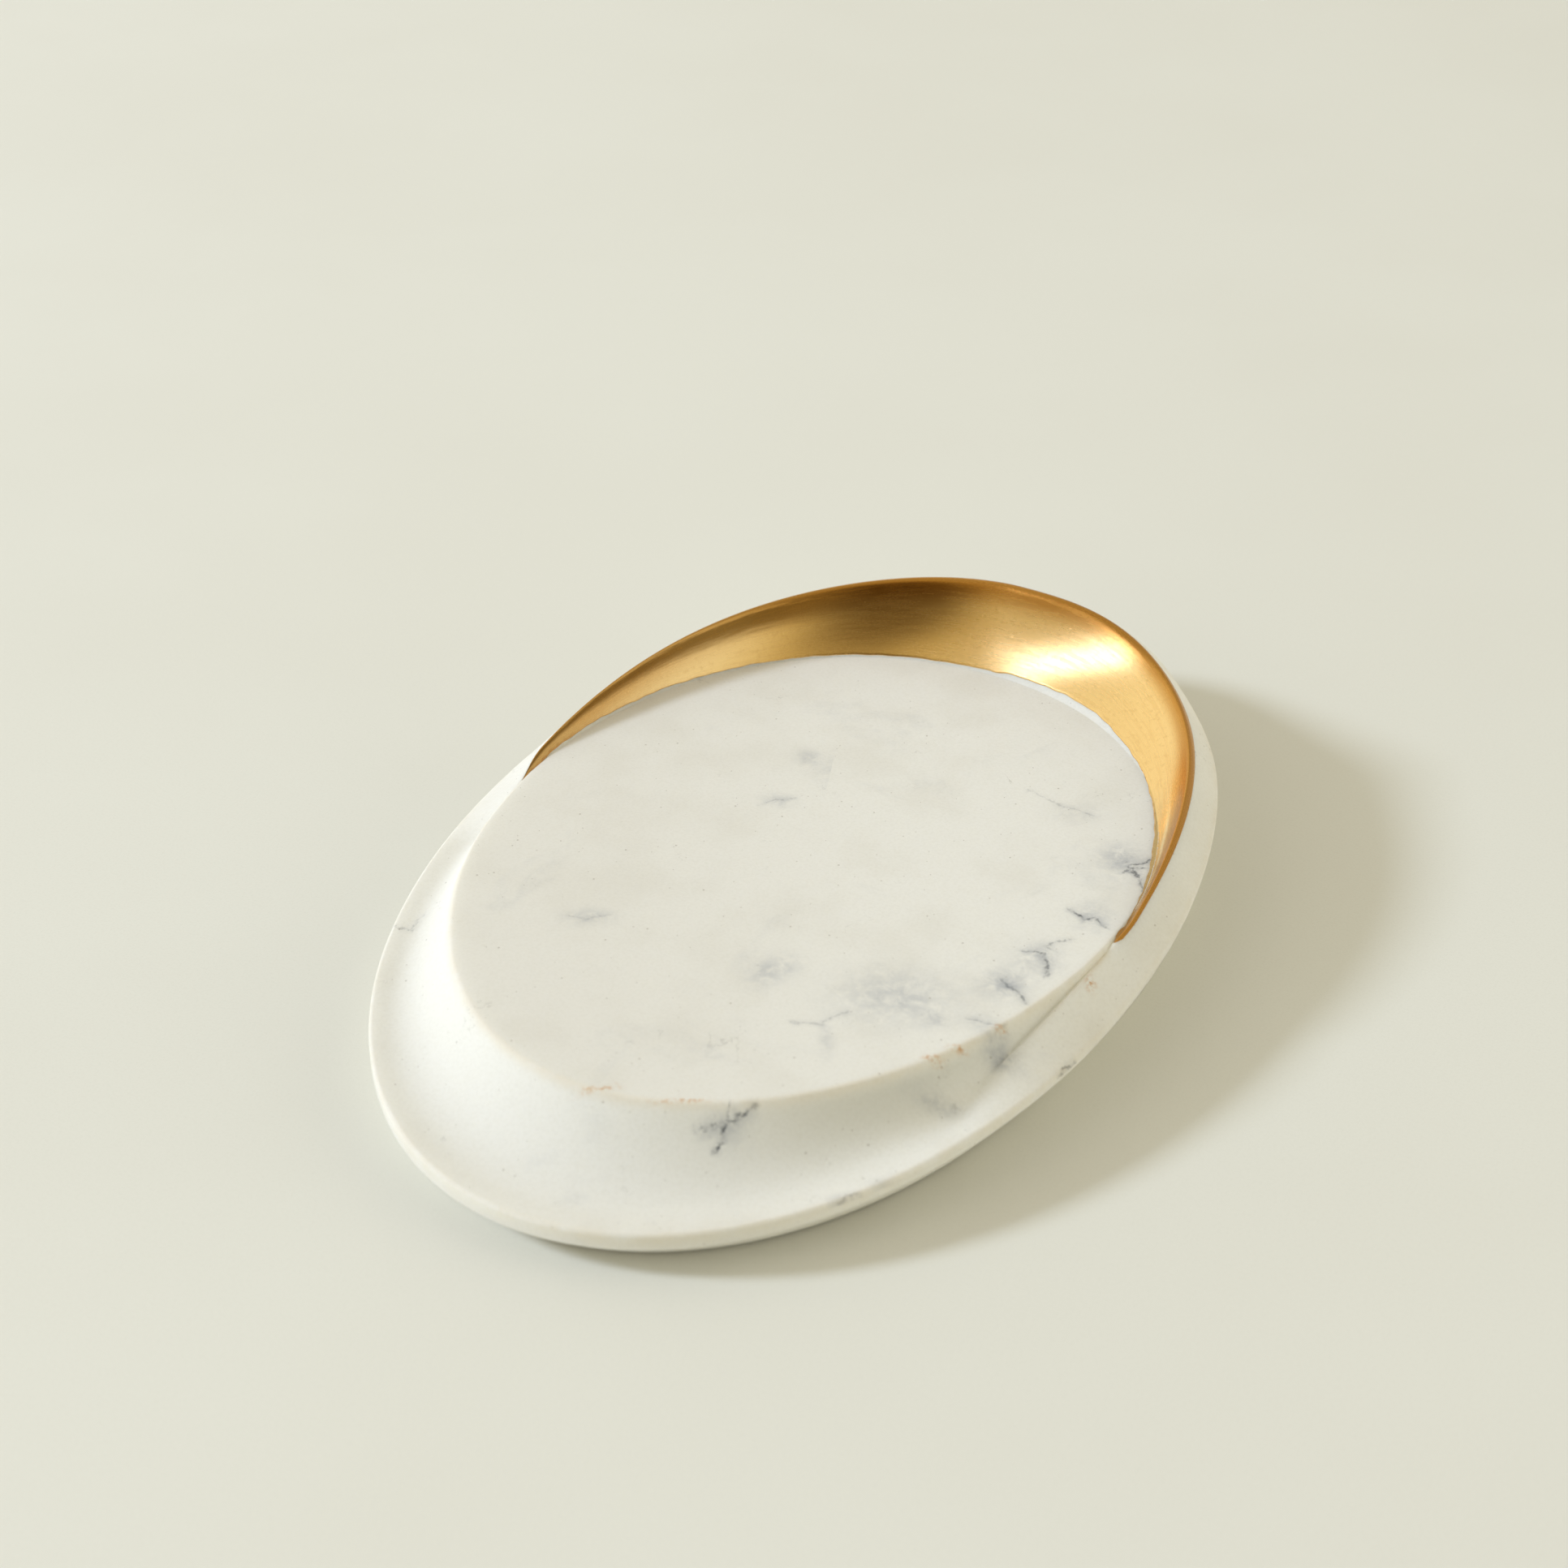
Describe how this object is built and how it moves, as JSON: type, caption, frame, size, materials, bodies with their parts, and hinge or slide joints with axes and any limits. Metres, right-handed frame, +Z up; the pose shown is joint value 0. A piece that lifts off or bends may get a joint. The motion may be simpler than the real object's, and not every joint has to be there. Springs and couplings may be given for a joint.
{
  "type": "soap dish",
  "caption": "Oval marble-effect soap dish with a level platform, a thin sloping rim and a raised gilded back.",
  "frame": {"origin": "Middle of the rim's plan outline, on the surface the pads stand on.", "axes": "+Z up. +Y along the dish's length, towards the high gilded back; the low open front is at -Y. +X towards the side where the crest is lower."},
  "size_m": [0.0914, 0.1399, 0.0238],
  "materials": {
    "cast_marble_resin": "satin off-white cast resin with faint grey marbling",
    "brushed_gold_leaf": "brushed gilding, worn at its edge",
    "clear_silicone": "translucent soft silicone"
  },
  "bodies": {
    "root": {"dish_body": "cast_marble_resin", "gold_leaf": "brushed_gold_leaf", "foot_pad_front_left": "clear_silicone", "foot_pad_front_right": "clear_silicone", "foot_pad_back_left": "clear_silicone", "foot_pad_back_right": "clear_silicone"}
  },
  "joints": []
}
